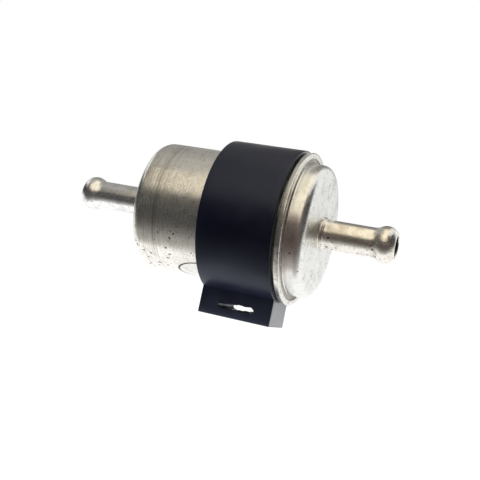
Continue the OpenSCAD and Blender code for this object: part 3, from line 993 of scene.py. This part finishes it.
@dataclass
class Holder:
    """The rubber ring and foot, cut from one extrusion, with a strap slot punched through the foot."""

    width: float = 20.5
    outer: float = 21.4
    inner: float = 18.18
    foot_depth: float = 14.0
    edge: float = 0.25
    foot_corner: float = 0.3
    junction: float = 0.25
    slot_start: float = -5.2
    slot_end: float = 5.2
    slot_low: float = 2.1
    slot_high: float = 4.1
    seed: int = 7

    def contour(self) -> list[Vector]:
        """The outside of the ring and foot as (y, z), counter-clockwise from the foot's middle."""
        half, c = self.foot_depth / 2, self.foot_corner
        points = [Vector((half * i / 6, 0.0)) for i in range(6)]
        for i in range(5):
            a = math.radians(-90 + 90 * i / 4)
            points.append(Vector((half - c + c * math.cos(a), c + c * math.sin(a))))
        meet = AXIS_HEIGHT - math.sqrt(self.outer ** 2 - half ** 2)
        steps = 10
        points += [Vector((half, c + (meet - c) * i / steps)) for i in range(1, steps)]
        start = math.atan2(meet - AXIS_HEIGHT, half)
        count = 240
        for i in range(count + 1):
            a = start + (math.pi - 2 * start) * i / count
            points.append(Vector((self.outer * math.cos(a), AXIS_HEIGHT + self.outer * math.sin(a))))
        mirrored = [Vector((-p.x, p.y)) for p in reversed(points[1:]) if p.y < meet - 1e-6]
        return points + mirrored

    def rows(self) -> list[tuple[float, float]]:
        """Places along X with how far the outside is drawn in there, for the rounded cut edges."""
        half, e, steps = self.width / 2, self.edge, 4
        body = [(-half + e + (self.width - 2 * e) * i / 12, 0.0) for i in range(1, 12)]
        first = [(-half + e * (1 - math.cos(math.radians(90 * i / steps))),
                  e * (1 - math.sin(math.radians(90 * i / steps)))) for i in range(steps + 1)]
        last = [(-x, inset) for x, inset in reversed(first)]
        return first + body + last

    def ring_mesh(self) -> Any:
        """Builds the extrusion without its slot."""
        contour = self.contour()
        n = len(contour)
        normals = []
        for i, p in enumerate(contour):
            way = contour[(i + 1) % n] - contour[i - 1]
            normals.append(Vector((way.y, -way.x)).normalized())
        centre = Vector((0.0, AXIS_HEIGHT))
        build = bmesh.new()
        outside, inside = [], []
        for x, inset in self.rows():
            ring, bore = [], []
            for p, normal in zip(contour, normals):
                q = p - normal * inset
                wave = noise.noise(Vector((x / 9, q.x / 9, q.y / 9))) * 0.05 - 0.03
                q = q + normal * (wave if q.y > 2 else -0.01)
                ring.append(build.verts.new(Vector((x, q.x, q.y)) * MM))
                spoke = (p - centre).normalized() * (self.inner + inset * 0.6)
                bore.append(build.verts.new(Vector((x, spoke.x, AXIS_HEIGHT + spoke.y)) * MM))
            outside.append(ring)
            inside.append(bore)
        for rows, flip in ((outside, False), (inside, True)):
            for first, second in zip(rows, rows[1:]):
                for i in range(n):
                    j = (i + 1) % n
                    quad = (first[i], second[i], second[j], first[j])
                    build.faces.new(quad[::-1] if flip else quad)
        for ring, bore in ((outside[0], inside[0]), (outside[-1], inside[-1])):
            for i in range(n):
                j = (i + 1) % n
                build.faces.new((ring[i], ring[j], bore[j], bore[i]))
        bmesh.ops.recalc_face_normals(build, faces=build.faces[:])
        mesh = bpy.data.meshes.new("holder_ring")
        build.to_mesh(mesh)
        build.free()
        return mesh

    def slot_outline(self, tear: float) -> list[Point]:
        """The punched slot's ragged outline as (x, z) at one face of the foot.

        Args:
            tear: how far the rubber is torn there, in millimetres.

        Returns:
            The points, counter-clockwise.
        """
        draw = random.Random(self.seed)
        length = self.slot_end - self.slot_start
        count = 18
        lower, upper = [], []
        for i in range(count + 1):
            share = i / count
            x = self.slot_start + length * share
            from_end = min(share, 1 - share)
            end = 0.75 * max(0.0, 1 - from_end * 9) ** 2
            teeth = tear * min(1.0, from_end * 6)
            lower.append((x, self.slot_low + end + teeth * draw.uniform(0.0, 0.62)))
            upper.append((x, self.slot_high - end - teeth * draw.uniform(0.0, 0.42)))
        return lower + upper[::-1]

    def slot_cutter(self) -> Any:
        """A solid through the foot in the slot's ragged shape."""
        build = bmesh.new()
        depth = self.foot_depth / 2 + 1
        stations = 9
        rings = []
        for i in range(stations):
            y = -depth + 2 * depth * i / (stations - 1)
            tear = 0.55 + 0.45 * abs(math.sin(i * 2.1))
            shift = 0.12 * math.sin(i * 1.7)
            outline = self.slot_outline(tear)
            rings.append([build.verts.new(Vector((x + shift, y, z)) * MM) for x, z in outline])
        count = len(rings[0])
        for first, second in zip(rings, rings[1:]):
            for k in range(count):
                m = (k + 1) % count
                build.faces.new((first[k], first[m], second[m], second[k]))
        build.faces.new(rings[0][::-1])
        build.faces.new(rings[-1])
        bmesh.ops.recalc_face_normals(build, faces=build.faces[:])
        mesh = bpy.data.meshes.new("slot_cutter")
        build.to_mesh(mesh)
        build.free()
        return mesh

    def build(self) -> None:
        """Builds the holder, cuts its slot and dresses it."""
        cutter = bpy.data.objects.new("slot_cutter", self.slot_cutter())
        blank = bpy.data.objects.new("holder_blank", self.ring_mesh())
        for made in (cutter, blank):
            bpy.context.scene.collection.objects.link(made)
        cut = blank.modifiers.new("slot", "BOOLEAN")
        cut.operation = "DIFFERENCE"
        cut.solver = "EXACT"
        cut.object = cutter
        bpy.context.view_layer.update()
        graph = bpy.context.evaluated_depsgraph_get()
        mesh = bpy.data.meshes.new_from_object(blank.evaluated_get(graph))
        mesh.name = "holder_ring"
        for made in (cutter, blank):
            old = made.data
            bpy.data.objects.remove(made)
            bpy.data.meshes.remove(old)
        mesh.materials.clear()
        # End faces of ring and foot get the paler cut-end material: partly painted sheen.
        end = (self.width / 2 - 0.01) * MM
        for face in mesh.polygons:
            face.material_index = int(abs(face.center.x) > end and abs(face.normal.x) > 0.9)
        build = bmesh.new()
        build.from_mesh(mesh)
        bmesh.ops.dissolve_degenerate(build, dist=SAME_POINT * MM, edges=build.edges[:])
        build.to_mesh(mesh)
        build.free()
        finished(mesh, 32)
        finishes = [ExtrudedRubber().make(), CutEndSheenRubber().make()]
        piece("holder_ring", mesh, "holder", ["holder"], finishes)


@dataclass
class SpringPack:
    """The coil spring behind the element."""

    wire: float = 1.1
    coil: float = 16.4
    coils: float = 4.5
    length: float = 9.0
    start_x: float = -30.8
    clear: float = 0.1
    fit: float = 0.03
    end_turns: float = 0.75

    def place(self, turn: float) -> float:
        """Place along X of the wire's middle after some turns: close at both ends, open between."""
        close = self.wire + self.clear
        start = self.start_x + self.wire / 2 + self.fit
        travel = self.length - self.wire - self.fit - self.clear
        ends = self.end_turns
        pitch = (travel - 2 * ends * close) / (self.coils - 2 * ends)
        edge = min(turn, ends) + max(turn - self.coils + ends, 0)
        return start + close * edge + pitch * max(min(turn, self.coils - ends) - ends, 0)

    def build(self) -> None:
        """Sweeps a round wire along the coil, with rounded ends."""
        sides, per_turn = 20, 72
        steps = int(self.coils * per_turn)
        radius = self.wire / 2 * 0.985
        build = bmesh.new()
        rings = []
        tip = (0.35, 0.75, 0.95)
        for i in range(steps + 1):
            angle = 2 * math.pi * i / per_turn
            near = min(i, steps - i)
            r = radius * (tip[near] if near < len(tip) else 1.0)
            ring = []
            for k in range(sides):
                a = 2 * math.pi * k / sides
                out = self.coil / 2 + r * math.cos(a)
                x = self.place(i / per_turn) + r * math.sin(a)
                spot = (x, -out * math.sin(angle), AXIS_HEIGHT - out * math.cos(angle))
                ring.append(build.verts.new(Vector(spot) * MM))
            rings.append(ring)
        for first, second in zip(rings, rings[1:]):
            for k in range(sides):
                m = (k + 1) % sides
                build.faces.new((first[k], first[m], second[m], second[k]))
        build.faces.new(rings[0][::-1])
        build.faces.new(rings[-1])
        bmesh.ops.recalc_face_normals(build, faces=build.faces[:])
        mesh = bpy.data.meshes.new("spring_coil")
        build.to_mesh(mesh)
        build.free()
        first = self.start_x + self.wire + self.clear
        last = self.start_x + self.length - self.wire - 3 * self.clear
        bend = Bend("element", (first, 0.0, AXIS_HEIGHT), (last, 0.0, AXIS_HEIGHT))
        finish = SpringWire().make()
        piece("spring_coil", finished(mesh, 60), "housing", ["spring"], [finish], bend)


@dataclass
class Element:
    """The filter element: its CAD nodes keep their shape and get their real finishes."""

    finishes: dict[str, Any] = field(default_factory=lambda: {
        "support_plate": PressedSteel,
        "inlet_end_disc": PressedSteel,
        "outlet_end_disc": PressedSteel,
        "seam_clip": PressedSteel,
        "centre_tube": PressedSteel,
        "filter_paper": FilterPaper,
        "outer_wrap": WrapCard,
        "inlet_potting": PottingAdhesive,
        "outlet_potting": PottingAdhesive,
        "outlet_seal": SealRubber,
        "seam_seal": SealRubber,
        "strainer_ring": MouldedNylon,
        "strainer_mesh": WovenWire,
    })

    def dress(self, nodes: dict[str, Any]) -> None:
        """Gives each carried-over CAD node its material.

        Args:
            nodes: the frame's CAD objects by name.
        """
        made: dict[Any, Any] = {}
        for name, finish in self.finishes.items():
            if finish not in made:
                made[finish] = finish().make()
            mesh = nodes[name].data
            mesh.materials.clear()
            mesh.materials.append(made[finish])
            LOG.info("%s: CAD node dressed in %s", name, made[finish].name)


@dataclass
class Studio:
    """A white table in a white room, with soft grey and warm screens round the front for the metal."""

    camera_place: tuple[float, float, float] = (64.6, -194.2, 8.57)
    forward: tuple[float, float, float] = (-0.33673, 0.93948, 0.06324)
    upward: tuple[float, float, float] = (-0.17366, -0.12798, 0.97645)
    lens: float = 55.37
    sensor: float = 36.0
    white: float = 1.0
    screen_radius: float = 300.0

    def camera(self) -> None:
        """Sets the camera that shows the filter from its outlet side, a little below its axis."""
        data = bpy.data.cameras.new("camera")
        data.sensor_width = self.sensor
        data.lens = self.lens
        data.clip_start = 0.001
        made = bpy.data.objects.new("camera", data)
        bpy.context.scene.collection.objects.link(made)
        ahead, above = Vector(self.forward).normalized(), Vector(self.upward)
        right = ahead.cross(above).normalized()
        above = right.cross(ahead)
        turn = Matrix((right, above, -ahead)).transposed()
        made.matrix_world = Matrix.Translation(Vector(self.camera_place) * MM) @ turn.to_4x4()
        bpy.context.scene.camera = made

    def glow(self, name: str, colour: str, strength: float) -> Any:
        """A material that only gives light."""
        made = bpy.data.materials.new(name)
        made.use_nodes = True
        tree = made.node_tree
        tree.nodes.clear()
        light = add_node(tree, "ShaderNodeEmission", {"Color": linear(colour), "Strength": strength})
        add_node(tree, "ShaderNodeOutputMaterial", {"Surface": light.outputs[0]})
        return made

    def sheet(self, name: str, corners: Sequence[Sequence[float]], finish: Any, seen: bool) -> None:
        """Adds a flat or bent sheet of the studio.

        Args:
            name: its name.
            corners: pairs of points along its two long edges, in millimetres.
            finish: its material.
            seen: whether the camera sees it.
        """
        mesh = bpy.data.meshes.new(name)
        points = [Vector(p) * MM for p in corners]
        faces = [(i, i + 1, i + 3, i + 2) for i in range(0, len(points) - 2, 2)]
        mesh.from_pydata(points, [], faces)
        mesh.materials.append(finish)
        made = bpy.data.objects.new(name, mesh)
        made.visible_camera = seen
        made.visible_shadow = seen
        bpy.context.scene.collection.objects.link(made)

    def screen(self, name: str, low: float, high: float, left: float, right: float, finish: Any) -> None:
        """Adds a screen bent round the filter's axis.

        Args:
            name: its name.
            low: its first angle in degrees, 0 in front, 90 above and 180 behind.
            high: its last angle.
            left: its left end along X, in millimetres.
            right: its right end.
            finish: its material.
        """
        corners = []
        steps = 12
        for i in range(steps + 1):
            a = math.radians(low + (high - low) * i / steps)
            y = -self.screen_radius * math.cos(a)
            z = AXIS_HEIGHT + self.screen_radius * math.sin(a)
            corners += [(left, y, z), (right, y, z)]
        self.sheet(name, corners, finish, False)

    def build(self) -> None:
        """Builds the room, the table, the screens and the camera."""
        scene = bpy.context.scene
        scene.view_settings.view_transform = "Standard"
        world = bpy.data.worlds.new("white_room")
        world.use_nodes = True
        background = world.node_tree.nodes["Background"]
        background.inputs[0].default_value = (1.0, 1.0, 1.0, 1.0)
        background.inputs[1].default_value = self.white
        scene.world = world
        far = 3000.0
        table = self.glow("table_white", "FFFFFF", 1.12)
        self.sheet("table", [(-far, -far, 0), (far, -far, 0), (-far, far, 0), (far, far, 0)], table, True)
        dark = self.glow("screen_dark", "373635", 1.0)
        brown = self.glow("screen_brown", "4C423C", 1.0)
        deep = self.glow("screen_deep", "5A5552", 1.0)
        half = self.glow("screen_half", "7E7C7A", 1.0)
        dim = self.glow("screen_dim", "A3A29F", 1.0)
        soft = self.glow("screen_soft", "BDBAB4", 1.0)
        warm = self.glow("screen_warm", "F6EBD6", 1.12)
        columns = (
            ("left", -320, -12, 0, dark),
            ("middle", -12, -2, 4, dark),
            ("lid", -2, 14, 1, brown),
            ("right", 14, 320, -3, brown),
        )
        for place, left, right, shift, last in columns:
            edges = (-15 - shift, -20 - shift, -26 - shift, -33 - shift, -42 - shift, -290)
            for near, far_y, finish in zip(edges, edges[1:], (soft, dim, half, deep, last)):
                corners = [(left, near, 0.4), (left, far_y, 0.4), (right, near, 0.4), (right, far_y, 0.4)]
                self.sheet(f"mat_{place}_{-near}", corners, finish, False)
        bright = self.glow("table_bright", "FFFFFF", 1.3)
        corners = [(-70, -15, 0.4), (-70, 30, 0.4), (-24, -15, 0.4), (-24, 30, 0.4)]
        self.sheet("mat_bright", corners, bright, False)
        self.screen("dark_front", -5, 17, -320, -70, dark)
        self.screen("brown_front", -5, 13, -70, 320, brown)
        self.screen("dark_left", 17, 60, -320, -185, dark)
        self.screen("half_left", 17, 20, -185, -70, half)
        self.screen("warm_left", 20, 60, -185, -130, warm)
        self.screen("half_middle", 20, 23, -130, -70, half)
        self.screen("warm_middle", 23, 60, -130, -70, warm)
        self.screen("warm_right", 13, 98, -70, 110, self.glow("screen_warm_bright", "F8EDD6", 1.3))
        self.screen("half_right", 102, 176, -70, 60, half)
        self.screen("brown_right", 13, 60, 110, 320, brown)
        self.screen("soft_above", 60, 100, -185, -70, soft)
        self.screen("dim_left", 60, 100, -320, -185, dim)
        self.screen("dim_behind", 100, 163, -320, -135, dim)
        self.screen("dim_high", 100, 144, -135, -70, dim)
        for name, x, top in (("dark_left_wall", -320, 170), ("dark_right_wall", 320, 420)):
            self.sheet(name, [(x, -290, 0.4), (x, -290, top), (x, 100, 0.4), (x, 100, top)], dark, False)
        self.camera()


def main() -> None:
    """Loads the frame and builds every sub-assembly in order."""
    logging.basicConfig(level=logging.INFO, format="%(message)s")
    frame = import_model()
    Studio().build()
    Holder().build()
    Can().build()
    plain = TurnedTube("inlet_turned_plated_steel", "E9E9E8", "CFCECC", wear=0.3).make()
    worn, bore, alloy = TurnedTube().make(), DeepBoreShade().make(), BrazedFillet().make()
    Nipple(Side.INLET, -31.3, 24.9).build(plain, bore, alloy)
    Nipple(Side.OUTLET, 17.6, 20.3).build(worn, bore, alloy)
    SpringPack().build()
    Element().dress(frame["nodes"])


if __name__ == "__main__":
    main()
